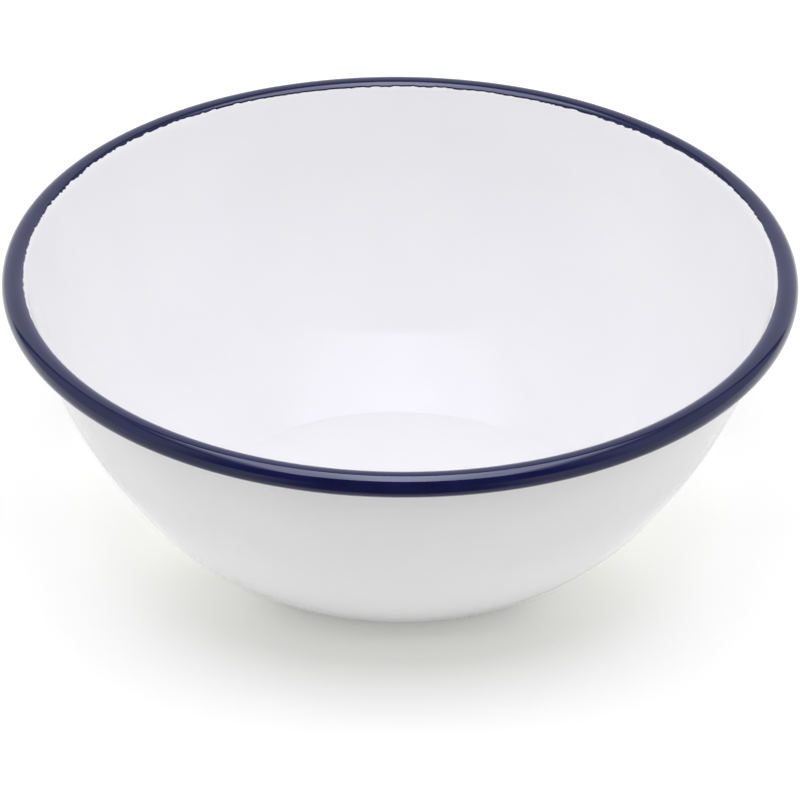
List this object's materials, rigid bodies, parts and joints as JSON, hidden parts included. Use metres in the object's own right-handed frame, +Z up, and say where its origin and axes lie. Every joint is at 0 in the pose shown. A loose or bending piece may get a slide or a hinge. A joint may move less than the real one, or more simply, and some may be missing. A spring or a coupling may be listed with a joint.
{
  "type": "enamel basin bowl",
  "caption": "Round pressed-steel bowl with white enamel inside and out and a dark blue enamelled, outward-curled rim, standing on a flat ring under its floor.",
  "frame": {"origin": "centre of the plane of the standing ring under the floor", "axes": "+Z up along the bowl's axis of revolution; X and Y lie in the plane it stands on, +Y away from the picture's viewer"},
  "size_m": [0.2, 0.2, 0.0733],
  "materials": {
    "sheet_steel": "bare pressed sheet, under the coats",
    "ground_enamel": "dark fired ground coat",
    "white_enamel": "glossy white vitreous enamel",
    "blue_enamel": "glossy navy vitreous enamel, brushed edge"
  },
  "bodies": {
    "root": {"steel_bowl": "sheet_steel", "ground_coat": "ground_enamel", "inner_coat": "white_enamel", "outer_coat": "white_enamel", "rim_coat": "blue_enamel"}
  },
  "joints": []
}
